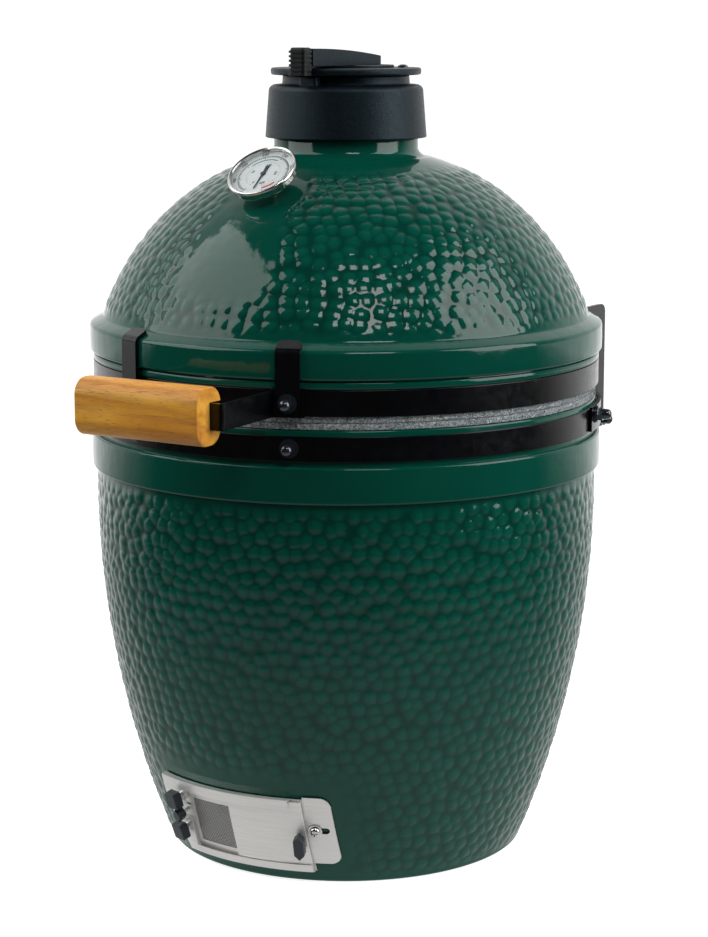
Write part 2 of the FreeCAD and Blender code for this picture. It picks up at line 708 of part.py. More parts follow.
# ---- draft door ---------------------------------------------------------------------------------
# The frame and its doors are rectangles wrapped on the belly, square to one azimuth. Here x is
# measured across them from that azimuth, as seen from straight ahead.
door_azimuth = 3.0
back_gap, back_sheet = 1.4, 1.0
screen_gap, door_gap, lip_gap = 3.0, 5.2, 7.0
door_thickness, lip_sheet = 1.1, 1.0
tab_face, door_face, frame_face = back_gap + back_sheet, door_gap + door_thickness, lip_gap + lip_sheet
door_heights = (14.2, 82.2)
rail_low, rail_high = (12.5, 19.5), (74.5, 84.0)
rail_right, door_right, tab_right = 47.9, 58.2, 80.4
mesh_area = (-53.3, -9.9, 26.0, 69.0)     # x from, x to, z from, z to
lug_x, lug_zs = -67.0, (37.2, 68.4)
pull_x, pull_z = -65.0, 53.6
push_x, push_z = 53.0, 43.5
screw_x, screw_z, slot_reach, slot_radius = 64.4, 53.5, 9.0, 3.2


def square_on(shape):
    """A block made at the front, carried to the middle of the draft door."""
    return at_azimuth(shape, door_azimuth)


def door_block(x_from, x_to, z_from, z_to):
    return square_on(box(x_from, x_to, -260, -100, z_from, z_to))


def door_sheet(gap, thickness, x_from, x_to, z_from, z_to):
    """Curved sheet that follows the belly of the base at a gap."""
    z_mid = (z_from + z_to) / 2
    near, far = gap, gap + thickness
    face = profile(
        (belly_radius(z_from) + near, z_from), (belly_radius(z_from) + far, z_from),
        ((belly_radius(z_mid) + far, z_mid), (belly_radius(z_to) + far, z_to)),
        (belly_radius(z_to) + near, z_to),
        ((belly_radius(z_mid) + near, z_mid), (belly_radius(z_from) + near, z_from)),
    )
    sheet = turned(face, door_azimuth - 45, door_azimuth + 45)
    return sheet.common(door_block(x_from, x_to, z_from - 1, z_to + 1))


def on_belly(shape, x, z, gap):
    """A shape built along +Z, standing square to the belly at x and z."""
    reach = belly_radius(z) + gap
    r_centre, z_centre = belly_arc_centre
    lean = math.atan2(z_centre - z, belly_radius(z) - r_centre)
    placed = pointing(shape, V(0, -reach, z), V(0, -math.cos(lean), -math.sin(lean)))
    return at_azimuth(placed, door_azimuth + math.degrees(math.asin(x / reach)))


def left_end():
    """What is cut off the frame's left end, which leans in towards the foot."""
    corners = [(-130, 0), (-71, 0), (-71, 14), (-84, 46), (-90, 68), (-91, 90), (-130, 90)]
    points = [V(x, -260, z) for x, z in corners]
    return square_on(Part.Face(Part.makePolygon(points + points[:1])).extrude(V(0, 160, 0)))


def rail_corner():
    """What is cut off to round the free lower corner of the upper rail."""
    radius, z = 4.5, rail_high[0]
    block = box(rail_right - radius, rail_right + 1, -260, -100, z - 1, z + radius)
    return square_on(block.cut(rod(V(rail_right - radius, -261, z + radius), V(0, 1, 0), radius, 162)))


def draft_frame():
    """Back sheet with a window, and folded rails above and below that the doors slide in."""
    azimuth_from, azimuth_to, z_from, z_to = window
    low, high, left = rail_low[0], rail_high[1], -95
    sleeve = door_sheet(back_gap, lip_gap + lip_sheet - back_gap, left, door_right, low, high)
    inside = door_sheet(back_gap + back_sheet, lip_gap - back_gap - back_sheet, left - 1, door_right + 1,
                        low + lip_sheet, high - lip_sheet)
    front_gap = lip_gap - 0.4
    front_opening = door_sheet(front_gap, 12, lug_x + 8, door_right + 1, rail_low[1], rail_high[0])
    knob_way = door_sheet(front_gap, 12, -82, lug_x + 9, pull_z - 7.5, pull_z + 7.5)
    past_rail = door_sheet(back_gap + back_sheet + 0.05, 12, rail_right, door_right + 1, 60, high + 5)
    corner = door_sheet(front_gap, 12, rail_right - 6, rail_right + 2, 66, high).common(rail_corner())
    frame = sleeve.cut(inside).cut(front_opening).cut(knob_way).cut(past_rail).cut(corner).cut(left_end())
    outline = square_on(rounded(box(40, tab_right, -260, -100, 20, 86), 9.0, along("y")))
    tab = door_sheet(back_gap, back_sheet, door_right, tab_right + 1, 15, 90).common(outline)
    hole = ring(100, 240, z_from, z_to, azimuth_from, azimuth_to)
    frame = frame.fuse(tab).removeSplitter()
    slot_ends = [on_belly(Part.makeCylinder(slot_radius, 8, V(0, 0, -4)), x, screw_z, tab_face)
                 for x in (screw_x, screw_x + slot_reach)]
    slot_middle = door_sheet(0, 12, screw_x, screw_x + slot_reach, screw_z - 3, screw_z + 3)
    stud_holes = [on_belly(Part.makeCylinder(2.45, 4, V(0, 0, -3)), lug_x, z, frame_face) for z in lug_zs]
    return frame.cut(hole).cut(group(slot_ends + [slot_middle])).cut(group(stud_holes))


def draft_studs():
    """Studs on the left of the frame that carry the two thumb knobs."""
    collar = Part.makeCylinder(4.2, 3.4, V(0, 0, 0.15))
    shank = Part.makeCylinder(2.4, 11.0, V(0, 0, -lip_sheet))
    return group([on_belly(collar.fuse(shank), lug_x, z, frame_face) for z in lug_zs])


def draft_thumb_knobs():
    low = 3.8
    knob = box(-7.0, 7.0, -7.6, 7.6, low, low + 8.5)
    knob = rounded(knob, 2.2, along("z"))
    knob = rounded(knob, 1.0, lambda edge: edge.BoundBox.ZLength < 0.01)
    knob = knob.cut(Part.makeCylinder(2.45, 7.4, V(0, 0, low - 1)))
    return group([on_belly(knob, lug_x, z, frame_face) for z in lug_zs])


def draft_screw():
    """Pan-head screw with a cross recess that holds the right tab."""
    head = spun((0, 0), (4.8, 0), ((4.2, 2.2), (0, 3.4)))
    cross = box(-2.9, 2.9, -0.55, 0.55, 1.6, 5).fuse(box(-0.55, 0.55, -2.9, 2.9, 1.6, 5))
    shank = Part.makeCylinder(2.3, 2.6, V(0, 0, -2.4))
    screw = head.cut(cross).fuse(shank)
    screw.translate(V(0, 0, 1.35))
    return on_belly(group([screw]), screw_x, screw_z, tab_face)


def draft_screw_washer():
    plate = washer(2.4, 6.4, 1.0)
    plate.translate(V(0, 0, 0.25))
    return on_belly(group([plate]), screw_x, screw_z, tab_face)


def screen_door():
    """Sheet door with a square window for the mesh and a finger tab on its left."""
    sheet = door_sheet(screen_gap, door_thickness, -58.5, door_right - 1.2, *door_heights)
    tab = door_sheet(screen_gap, door_thickness, pull_x - 4.5, -57, pull_z - 5.5, pull_z + 5.5)
    hole = door_block(*mesh_area)
    post_hole = on_belly(Part.makeCylinder(2.05, 12, V(0, 0, -6)), pull_x, pull_z, lip_gap)
    return sheet.fuse(tab).removeSplitter().cut(hole).cut(post_hole)


def screen_mesh():
    """Perforated sheet in the window of the screen door."""
    x_from, x_to, z_from, z_to = mesh_area
    return door_sheet(screen_gap + 0.3, 0.5, x_from + 0.15, x_to - 0.15, z_from + 0.15, z_to - 0.15)


def solid_door():
    sheet = door_sheet(door_gap, door_thickness, mesh_area[1] - 1.5, door_right - 0.4, *door_heights)
    post_hole = on_belly(Part.makeCylinder(2.05, 12, V(0, 0, -6)), push_x, push_z, door_face)
    return sheet.cut(post_hole)


def pull_knob(half_height):
    """Long six-sided knob on a short post, built along +Z with its length along Y."""
    half_width, low, point = 4.6, 3.4, 5.0
    outline = [V(-half_width, point - half_height, low), V(0, -half_height, low),
               V(half_width, point - half_height, low), V(half_width, half_height - point, low),
               V(0, half_height, low), V(-half_width, half_height - point, low)]
    knob = Part.Face(Part.makePolygon(outline + outline[:1])).extrude(V(0, 0, 8.5))
    knob = rounded(knob, 0.9, lambda edge: edge.BoundBox.ZLength < 0.01)
    return knob.cut(Part.makeCylinder(2.05, 6, V(0, 0, low - 1)))


def pull_post(foot):
    """Post that joins a knob to the door behind it; its foot is measured from the face it stands on."""
    return Part.makeCylinder(2.0, 5.8 - foot, V(0, 0, foot))


def screen_knob():
    return on_belly(pull_knob(6.6), pull_x, pull_z, lip_gap)


def screen_post():
    return on_belly(pull_post(-3.8), pull_x, pull_z, lip_gap)


def solid_knob():
    return on_belly(pull_knob(12.6), push_x, push_z, door_face)


def solid_post():
    return on_belly(pull_post(-1.0), push_x, push_z, door_face)


# ---- assembly -----------------------------------------------------------------------------------
def assemble():
    clip_face = clip_inner + clip_thickness
    dome_front = radial_fasteners(front_azimuths, upper_bolt_z, clip_face)
    dome_rear = radial_fasteners(upper_rear_azimuths, upper_bolt_z, bracket_outer)
    base_front = radial_fasteners(front_azimuths, lower_bolt_z, band_outer)
    base_side = radial_fasteners(side_azimuths, side_bolt_z, bracket_outer)
    base_rear = radial_fasteners(lower_rear_azimuths, lower_bolt_z, bracket_outer)
    clip = front_clip()
    return {
        "base_shell": base_shell(),
        "base_gasket": felt_ring(base_rim + 0.1),
        "lower_band": lower_band(),
        "lower_band_studs": group(base_front["studs"] + base_side["studs"] + base_rear["studs"]),
        "lower_band_washers": group(base_front["washers"] + base_side["washers"] + base_rear["washers"]),
        "lower_band_nuts": group(base_front["nuts"] + base_side["nuts"] + base_rear["nuts"]),
        "hinge_lower_bracket": hinge_lower_bracket(),
        "hinge_shaft": hinge_shaft(),
        "hinge_nuts": hinge_nuts(),
        "hinge_springs": both_sides(hinge_spring()),
        "fire_box": fire_box(),
        "fire_grate": fire_grate(),
        "fire_ring": fire_ring(),
        "cooking_grid": cooking_grid(),
        "draft_frame": draft_frame(),
        "draft_screw": draft_screw(),
        "draft_screw_washer": draft_screw_washer(),
        "draft_studs": draft_studs(),
        "draft_thumb_knobs": draft_thumb_knobs(),
        "screen_door": screen_door(),
        "screen_mesh": screen_mesh(),
        "screen_door_knob": screen_knob(),
        "screen_door_post": screen_post(),
        "solid_door": solid_door(),
        "solid_door_knob": solid_knob(),
        "solid_door_post": solid_post(),
        "dome_shell": dome_shell(),
        "dome_gasket": felt_ring(base_rim + 0.1 + gasket_thickness + gasket_gap),
        "upper_band": upper_band(),
        "front_clips": group([at_azimuth(clip, a) for a in front_azimuths]),
        "upper_band_studs": group(dome_front["studs"] + dome_rear["studs"]),
        "upper_band_washers": group(dome_front["washers"] + dome_rear["washers"]),
        "upper_band_nuts": group(dome_front["nuts"] + dome_rear["nuts"]),
        "hinge_upper_bracket": hinge_upper_bracket(),
        "handle_bracket": handle_bracket(),
        "handle_grip": handle_grip(),
        "handle_screws": handle_screws(),
        "thermometer_case": thermometer_case(),
        "thermometer_stem": thermometer_stem(),
        "thermometer_clip": thermometer_clip(),
        "thermometer_dial": thermometer_dial(),
        "thermometer_lens": thermometer_lens(),
        "thermometer_pointer": thermometer_pointer(),
        "vent_cap": vent_cap(),
        "cap_sleeve": cap_sleeve(),
        "lid_pin": lid_pin(),
        "lid_plate": lid_plate(),
        "wheel_rivet": wheel_rivet(),
        "vent_wheel": vent_wheel(),
        "vent_grip": vent_grip(),
    }


os.makedirs("parts", exist_ok=True)
for node, shape in assemble().items():
    shape.exportStep(os.path.join("parts", node + ".step"))
    good = all(solid.isValid() for solid in shape.Solids)
    print(f"{node}: {len(shape.Solids)} solids, valid {good}, {shape.Volume / 1000:.1f} cm3")
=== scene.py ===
import bpy
import json
import math
import numpy as np
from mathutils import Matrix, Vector, kdtree


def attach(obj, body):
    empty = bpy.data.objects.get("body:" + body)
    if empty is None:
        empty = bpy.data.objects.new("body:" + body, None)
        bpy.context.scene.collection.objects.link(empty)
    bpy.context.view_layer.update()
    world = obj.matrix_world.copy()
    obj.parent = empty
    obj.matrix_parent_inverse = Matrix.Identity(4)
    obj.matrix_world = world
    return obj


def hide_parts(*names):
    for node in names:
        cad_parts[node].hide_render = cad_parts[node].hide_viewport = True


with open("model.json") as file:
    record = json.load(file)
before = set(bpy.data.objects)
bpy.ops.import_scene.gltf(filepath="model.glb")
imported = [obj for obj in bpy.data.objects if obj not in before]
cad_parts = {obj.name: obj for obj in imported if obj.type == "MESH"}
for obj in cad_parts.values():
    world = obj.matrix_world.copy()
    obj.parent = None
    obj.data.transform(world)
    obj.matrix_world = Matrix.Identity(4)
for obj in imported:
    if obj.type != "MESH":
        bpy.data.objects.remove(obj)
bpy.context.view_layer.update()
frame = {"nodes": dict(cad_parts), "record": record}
nodes = frame["nodes"]
MM = 0.001

# ---- glazed shells: the CAD outline, in millimetres (radius, height) -----------------------------
BELLY_ARC_RADIUS, BELLY_ARC_R, BELLY_ARC_Z = 870.8, -644.3, 330.2
DOME_WIDTH, DOME_RISE, DOME_FOOT, DOME_POWER = 240.0, 276.5, 358.9, 2.214
WALL = 23.0
SEAT_RADIUS, COLLAR_RADIUS, BULGE_RADIUS = 226.6, 231.0, 231.6
RIM_INNER, BASE_RIM, DOME_BOTTOM = 204.0, 413.0, 424.6
FOOT_ROUND, FLOOR_TOP, COLLAR_LOW = 4.0, 22.0, 350.0
BULGE_LOW, BULGE_HIGH, DOME_SHOULDER, NECK_FOOT = 454.4, 476.0, 484.6, 625.5
NECK_RADIUS, FLUE_RADIUS, NECK_TOP = 64.7, 45.0, 660.0
WINDOW_AZIMUTHS, WINDOW_HEIGHTS = (-15.5, 18.0), (24.0, 68.0)

# ---- thermometer and draft door, in millimetres --------------------------------------------------
DIAL_ANCHOR, DIAL_ELEVATION, DIAL_FACE = (0.0, -124.3, 604.6), 52.0, 14.75
DOOR_AZIMUTH, MESH_GAP = 3.0, 3.2
MESH_AREA = (-53.3, -9.9, 26.0, 69.0)
MESH_PITCH, MESH_WIRE = 2.0, 0.62

# ---- pebbled relief ------------------------------------------------------------------------------
COLUMNS = 720
ROW_STEP = 2.0
PEBBLE_PITCH = 13.2
PEBBLE_HEIGHT, GROOVE_DEPTH = 1.35, 0.25
PEBBLE_JITTER = 0.17


def belly_radius(z):
    return BELLY_ARC_R + math.sqrt(BELLY_ARC_RADIUS ** 2 - (z - BELLY_ARC_Z) ** 2)


def dome_radius(z, inset=0.0):
    reach = (z - DOME_FOOT) / (DOME_RISE - inset)
    return (DOME_WIDTH - inset) * (1 - reach ** DOME_POWER) ** (1 / DOME_POWER)


def smooth_step(low, high, value):
    t = np.clip((value - low) / (high - low), 0, 1)
    return t * t * (3 - 2 * t)


def rounded_corner(start, mid, end, count=5):
    """Points of an arc through three (r, z) points, without its first point."""
    (ax, ay), (bx, by), (cx, cy) = start, mid, end
    d = 2 * (ax * (by - cy) + bx * (cy - ay) + cx * (ay - by))
    a2, b2, c2 = ax * ax + ay * ay, bx * bx + by * by, cx * cx + cy * cy
    ux = (a2 * (by - cy) + b2 * (cy - ay) + c2 * (ay - by)) / d
    uy = (a2 * (cx - bx) + b2 * (ax - cx) + c2 * (bx - ax)) / d
    radius = math.hypot(ax - ux, ay - uy)
    first = math.atan2(ay - uy, ax - ux)
    middle = math.atan2(by - uy, bx - ux)
    last = math.atan2(cy - uy, cx - ux)
    turn = (last - first) % (2 * math.pi)
    if (middle - first) % (2 * math.pi) > turn:
        turn -= 2 * math.pi
    angles = [first + turn * k / count for k in range(1, count + 1)]
    return [(ux + radius * math.cos(a), uy + radius * math.sin(a)) for a in angles]


def even_steps(curve, low, high, step):
    """Heights between low and high whose points on the curve are about one step apart."""
    fine = np.linspace(low, high, 2000)
    radii = np.array([curve(z) for z in fine])
    run = np.concatenate([[0], np.cumsum(np.hypot(np.diff(radii), np.diff(fine)))])
    count = max(2, int(round(run[-1] / step)))
    return list(np.interp(np.linspace(0, run[-1], count + 1), run, fine))


class Outline:
    """A closed side view: rows of (radius, height), with the material and relief of each row."""

    def __init__(self):
        self.points, self.material, self.relief = [], [], []

    def add(self, points, material=0, relief=False):
        for point in points:
            self.points.append(point)
            self.material.append(material)
            self.relief.append(relief)

    def last(self):
        return self.points[-1]

    def corner(self, mid, end, material=0):
        self.add(rounded_corner(self.last(), mid, end), material)


GLAZE, CLAY = 0, 1


def base_outline():
    """Foot, pebbled belly, collar, band seat and rim, then down the bare clay inside."""
    o = Outline()
    foot_r = belly_radius(FOOT_ROUND)
    o.add([(0, 0), (60, 0), (foot_r - FOOT_ROUND, 0)])
    o.corner((foot_r - 1.0, 1.2), (foot_r, FOOT_ROUND))
    low, high = WINDOW_HEIGHTS
    for start, stop in ((FOOT_ROUND, low), (low, high), (high, COLLAR_LOW)):
        heights = even_steps(belly_radius, start, stop, ROW_STEP)[1:]
        o.add([(belly_radius(z), z) for z in heights], relief=True)
    o.add([(COLLAR_RADIUS - 2.6, COLLAR_LOW + 0.2)])
    o.corner((COLLAR_RADIUS - 0.6, 350.9), (COLLAR_RADIUS, 352.8))
    o.add([(COLLAR_RADIUS + 0.2, 366.0), (COLLAR_RADIUS, 379.4)])
    o.corner((COLLAR_RADIUS - 0.6, 381.3), (COLLAR_RADIUS - 2.2, 382.0))
    o.add([(SEAT_RADIUS, 382.3), (SEAT_RADIUS, BASE_RIM - 2.0)])
    o.corner((SEAT_RADIUS - 0.6, BASE_RIM - 0.6), (SEAT_RADIUS - 2.0, BASE_RIM))
    o.add([(RIM_INNER + 1.5, BASE_RIM)], CLAY)
    o.corner((RIM_INNER + 0.4, 412.6), (RIM_INNER, 411.5), CLAY)
    inner = [(RIM_INNER, 340.0)] + [(belly_radius(z) - WALL, z) for z in (270, 200, 130, high, 42, 32, low)]
    inner[-2] = (belly_radius(32) - WALL - 6, 32)
    inner[-1] = (belly_radius(low) - WALL - 16, low)
    o.add(inner + [(120, FLOOR_TOP), (0, FLOOR_TOP)], CLAY)
    return o


def dome_outline():
    """Seat for the band, bulge, pebbled dome and neck, then down the flue and the bare clay inside."""
    o = Outline()
    low, high, bottom = BULGE_LOW, BULGE_HIGH, DOME_BOTTOM
    o.add([(RIM_INNER, bottom), (SEAT_RADIUS - 2, bottom)], CLAY)
    o.corner((SEAT_RADIUS - 0.6, bottom + 0.6), (SEAT_RADIUS, bottom + 2))
    o.add([(SEAT_RADIUS, 447.0), (SEAT_RADIUS + 2.0, 447.4), (SEAT_RADIUS + 2.4, 448.2),
           (SEAT_RADIUS + 2.4, 452.4), (SEAT_RADIUS + 1.8, 453.1), (SEAT_RADIUS, 453.3),
           (SEAT_RADIUS - 0.2, 454.3), (BULGE_RADIUS - 2.8, low)])
    o.corner((BULGE_RADIUS - 0.8, low + 0.8), (BULGE_RADIUS, low + 2.8))
    o.add([(BULGE_RADIUS + 0.2, 465.0), (BULGE_RADIUS, high)])
    o.corner((BULGE_RADIUS - 0.6, high + 2.2), (BULGE_RADIUS - 2.1, high + 3.8))
    o.add([(BULGE_RADIUS - 9.4, high + 7.4)])
    o.corner((BULGE_RADIUS - 10.8, high + 8.2), (dome_radius(DOME_SHOULDER), DOME_SHOULDER))
    heights = even_steps(dome_radius, DOME_SHOULDER, NECK_FOOT, ROW_STEP)[1:]
    o.add([(dome_radius(z), z) for z in heights], relief=True)
    o.corner((NECK_RADIUS + 2.6, 628.6), (NECK_RADIUS, 632.5))
    o.add([(NECK_RADIUS, NECK_TOP - 2)])
    o.corner((NECK_RADIUS - 0.6, NECK_TOP - 0.6), (NECK_RADIUS - 2, NECK_TOP))
    o.add([(FLUE_RADIUS, NECK_TOP), (FLUE_RADIUS, 609.8)], CLAY)
    o.add([(dome_radius(z, WALL), z) for z in (600, 585, 565, 540, 505, 464)], CLAY)
    o.add([(RIM_INNER, 455.0), (RIM_INNER, bottom)], CLAY)
    return o


def pebble_centres(points, seed):
    """Seeded, jittered rows of pebbles, staggered like packed stones, over a side view."""
    draw = np.random.default_rng(seed)
    r, z = np.array(points).T
    run = np.concatenate([[0], np.cumsum(np.hypot(np.diff(r), np.diff(z)))])
    centres = []
    for row, s in enumerate(np.arange(0, run[-1], PEBBLE_PITCH * math.sqrt(3) / 2)):
        count = max(6, int(round(2 * math.pi * np.interp(s, run, r) / PEBBLE_PITCH)))
        turn = (np.arange(count) + 0.5 * (row % 2)) / count * 2 * math.pi
        turn += draw.normal(0, PEBBLE_JITTER, count) * 2 * math.pi / count
        along = s + draw.normal(0, PEBBLE_JITTER, count) * PEBBLE_PITCH
        radius, height = np.interp(along, run, r), np.interp(along, run, z)
        centres.append(np.stack([radius * np.cos(turn), radius * np.sin(turn), height], 1))
    return np.concatenate(centres)


def pebble_field(where, centres, seed):
    """0 in the grooves to about 1 on the tops, at each point."""
    tree = kdtree.KDTree(len(centres))
    for k, centre in enumerate(centres):
        tree.insert(centre, k)
    tree.balance()
    size = np.random.default_rng(seed + 1).uniform(0.72, 1.0, len(centres))
    found = [tree.find_n(point, 2) for point in where.tolist()]
    near = np.array([pair[0][2] for pair in found])
    gap = np.array([pair[1][2] for pair in found]) - near
    which = size[[pair[0][1] for pair in found]]
    valley = smooth_step(0.0, 0.28 * PEBBLE_PITCH, gap)
    crown = np.clip(1 - (near / (0.66 * PEBBLE_PITCH)) ** 2, 0, 1) ** 1.3
    return which * crown * (0.55 + 0.45 * valley)


def azimuth_of(where):
    return np.degrees(np.arctan2(where[:, 0], -where[:, 1]))


def base_relief_share(where):
    """Where the base is pebbled: faint by the foot and round the draft door, none under the collar."""
    azimuth, z = azimuth_of(where), where[:, 2]
    share = smooth_step(2, 14, z) * (1 - 0.9 * smooth_step(338, 348, z))
    beside = smooth_step(24, 40, np.abs(azimuth - 3.0))
    above = smooth_step(92, 118, z)
    return share * np.maximum(np.maximum(beside, above), 0.0)


def dome_relief_share(where):
    """Where the dome is pebbled: smooth at the neck, the shoulder, the dial and the front patch."""
    azimuth, z = azimuth_of(where), where[:, 2]
    share = smooth_step(486, 497, z) * (1 - smooth_step(611, 620, z))
    dial = np.linalg.norm(where - np.array(DIAL_ANCHOR), axis=1)
    share *= smooth_step(32, 44, dial)
    across = np.abs(azimuth + 1.0) / 14.0
    upright = np.abs(z - 562.0) / 46.0
    patch = (across ** 4 + upright ** 4) ** 0.25
    return share * (0.08 + 0.92 * smooth_step(0.9, 1.2, patch))


def new_mesh(name, vertices, faces, body, slot=None, smooth_angle=40.0):
    """A piece from millimetre points, shaded smooth but for edges sharper than the angle."""
    mesh = bpy.data.meshes.new(name)
    mesh.from_pydata((np.asarray(vertices, float) * MM).tolist(), [], faces)
    mesh.validate()
    mesh.shade_smooth()
    mesh.set_sharp_from_angle(angle=math.radians(smooth_angle))
    piece = bpy.data.objects.new(name, mesh)
    bpy.context.scene.collection.objects.link(piece)
    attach(piece, body)
    return piece


def raise_pebbles(where, points, raised, ring, relief_share, seed):
    """Moves the raised rows out along the skin's normal; returns each point's relief, 0.5 where flat."""
    rows = len(points)
    relief = np.full((rows, COLUMNS), 0.5)
    first, last = raised[0] - 1, raised[-1] + 1
    slope = np.gradient(points[first:last + 1], axis=0)
    normal = np.stack([slope[:, 1], -slope[:, 0]], 1)
    normal /= np.linalg.norm(normal, axis=1)[:, None]
    out = normal[raised - first]
    patch = where[raised].reshape(-1, 3)
    share = relief_share(patch)
    field = pebble_field(patch, pebble_centres(points[raised], seed), seed)
    height = (share * (field * PEBBLE_HEIGHT - GROOVE_DEPTH)).reshape(len(raised), COLUMNS)
    relief[raised] = 0.5 + (share * (1.2 * field - 0.6)).reshape(len(raised), COLUMNS)
    where[raised, :, :2] += (height * out[:, 0:1])[:, :, None] * ring[None]
    where[raised, :, 2] += height * out[:, 1:2]
    return relief


def skin_faces(outline, open_rows, open_columns):
    """Faces between the rows of a turned outline, without those in its window."""
    rows = len(outline.points)
    pole_low, pole_high = outline.points[0][0] < 1e-6, outline.points[-1][0] < 1e-6
    faces, materials = [], []
    for k in range(rows - 1):
        low, high = k * COLUMNS, (k + 1) * COLUMNS
        for j in range(COLUMNS):
            if j in open_columns and k in open_rows:
                continue
            i = (j + 1) % COLUMNS
            if k == 0 and pole_low:
                faces.append((low, high + i, high + j))
            elif k == rows - 2 and pole_high:
                faces.append((low + j, low + i, high))
            else:
                faces.append((low + j, low + i, high + i, high + j))
            materials.append(outline.material[k + 1])
    return faces, materials


def window_faces(outline, inside, start, stop):
    """Bare clay faces through the wall, round a window between two columns."""
    outer = [k for k in inside if outline.material[k] == GLAZE]
    inner = [k for k in inside if outline.material[k] == CLAY]
    faces = []
    for row_out, row_in, flip in ((outer[0], inner[-1], False), (outer[-1], inner[0], True)):
        near, far = row_out * COLUMNS, row_in * COLUMNS
        for j in range(start, stop):
            a, b = j % COLUMNS, (j + 1) % COLUMNS
            quad = (near + a, near + b, far + b, far + a)
            faces.append(quad if flip else quad[::-1])
    for column, flip in ((start % COLUMNS, False), (stop % COLUMNS, True)):
        loop = [k * COLUMNS + column for k in outer + inner]
        faces.append(tuple(loop if flip else loop[::-1]))
    return faces


def lathe_shell(name, outline, body, relief_share, seed, window=None):
    """Turns an outline round Z, raises the pebbles, and leaves out the window, if it has one."""
    points = np.array(outline.points)
    turn = np.radians(np.arange(COLUMNS) * 360.0 / COLUMNS - 90)
    ring = np.stack([np.cos(turn), np.sin(turn)], 1)
    where = np.empty((len(points), COLUMNS, 3))
    where[:, :, :2] = points[:, 0][:, None, None] * ring[None]
    where[:, :, 2] = points[:, 1][:, None]
    raised = np.where(outline.relief)[0]
    relief = raise_pebbles(where, points, raised, ring, relief_share, seed)
    open_rows, open_columns, jamb = set(), set(), []
    if window:
        azimuths, heights = window
        start, stop = [int(round(azimuth * COLUMNS / 360.0)) for azimuth in azimuths]
        inside = [k for k, (_, z) in enumerate(points) if heights[0] - 1e-6 <= z <= heights[1] + 1e-6]
        open_rows = {k for k in inside if k + 1 in inside}
        open_columns = {j % COLUMNS for j in range(start, stop)}
        jamb = window_faces(outline, inside, start, stop)
    faces, materials = skin_faces(outline, open_rows, open_columns)
    faces += jamb
    materials += [CLAY] * len(jamb)
    used = np.unique(np.concatenate([np.array(face) for face in faces]))
    renumber = np.full(where.size // 3, -1)
    renumber[used] = np.arange(len(used))
    faces = [tuple(int(renumber[v]) for v in face) for face in faces]
    shell = new_mesh(name, where.reshape(-1, 3)[used], faces, body, "green_glaze", 60.0)
    shell.data.materials.append(paint["green_glaze"])
    shell.data.materials.append(paint["fire_clay"])
    shell.data.polygons.foreach_set("material_index", materials)
    # The relief attribute also tints the glaze: painted shade in the grooves, painted highlight on the pebble
    # tops.
    tint = shell.data.attributes.new("relief", "FLOAT", "POINT")
    tint.data.foreach_set("value", relief.reshape(-1)[used].astype(np.float32))
    return shell


# ---- materials -----------------------------------------------------------------------------------
class Paint:
    """A node material: a Principled shader, and short ways to drive it."""

    def __init__(self, name, roughness=0.5, **sockets):
        self.material = bpy.data.materials.new(name)
        self.material.use_nodes = True
        self.tree = self.material.node_tree
        self.shader = self.tree.nodes["Principled BSDF"]
        self.set("Roughness", roughness)
        for socket, value in sockets.items():
            self.set(socket.replace("_", " "), value)
        self.coordinates = self.tree.nodes.new("ShaderNodeTexCoord").outputs["Object"]

    def set(self, socket, value):
        target = self.shader.inputs[socket]
        if isinstance(value, bpy.types.NodeSocket):
            self.tree.links.new(value, target)
        elif isinstance(value, tuple) and len(value) == 3:
            target.default_value = (*value, 1)
        else:
            target.default_value = value

    def node(self, kind, inputs=None, **settings):
        made = self.tree.nodes.new("ShaderNode" + kind)
        for key, value in settings.items():
            setattr(made, key, value)
        for key, value in (inputs or {}).items():
            if isinstance(value, bpy.types.NodeSocket):
                self.tree.links.new(value, made.inputs[key])
            elif isinstance(value, tuple) and len(value) == 3 and made.inputs[key].type == "RGBA":
                made.inputs[key].default_value = (*value, 1)
            else:
                made.inputs[key].default_value = value
        return made

    def stretched(self, scale, turn=(0, 0, 0)):
        """Object coordinates scaled by axis, in cells per metre."""
        mapping = self.node("Mapping", {"Vector": self.coordinates, "Scale": scale, "Rotation": turn})
        return mapping.outputs["Vector"]

    def noise(self, scale, detail=4.0, roughness=0.55, where=None, distortion=0.0):
        inputs = {"Vector": where or self.coordinates, "Scale": scale, "Detail": detail,
                  "Roughness": roughness, "Distortion": distortion}
        return self.node("TexNoise", inputs).outputs["Fac"]

    def ramp(self, value, *stops):
        """Colour by value. A stop is (position, colour)."""
        made = self.node("ValToRGB", {"Fac": value})
        elements = made.color_ramp.elements
        while len(elements) < len(stops):
            elements.new(0.5)
        for element, (position, colour) in zip(elements, stops):
            element.position = position
            element.color = (*colour, 1)
        return made.outputs["Color"]

    def between(self, value, low, high, to_low, to_high):
        """A number mapped from one range to another."""
        inputs = {"Value": value, "From Min": low, "From Max": high, "To Min": to_low, "To Max": to_high}
        return self.node("MapRange", inputs).outputs["Result"]

    def blend(self, share, a, b, how="MIX"):
        made = self.node("MixRGB", {"Fac": share, "Color1": a, "Color2": b}, blend_type=how)
        return made.outputs["Color"]

    def bump(self, height, depth, strength=1.0, normal=None):
        """Adds a bump of a depth in metres, on top of another if one is given."""
        inputs = {"Height": height, "Distance": depth, "Strength": strength}
        if normal:
            inputs["Normal"] = normal
        made = self.node("Bump", inputs).outputs["Normal"]
        self.set("Normal", made)
        return made


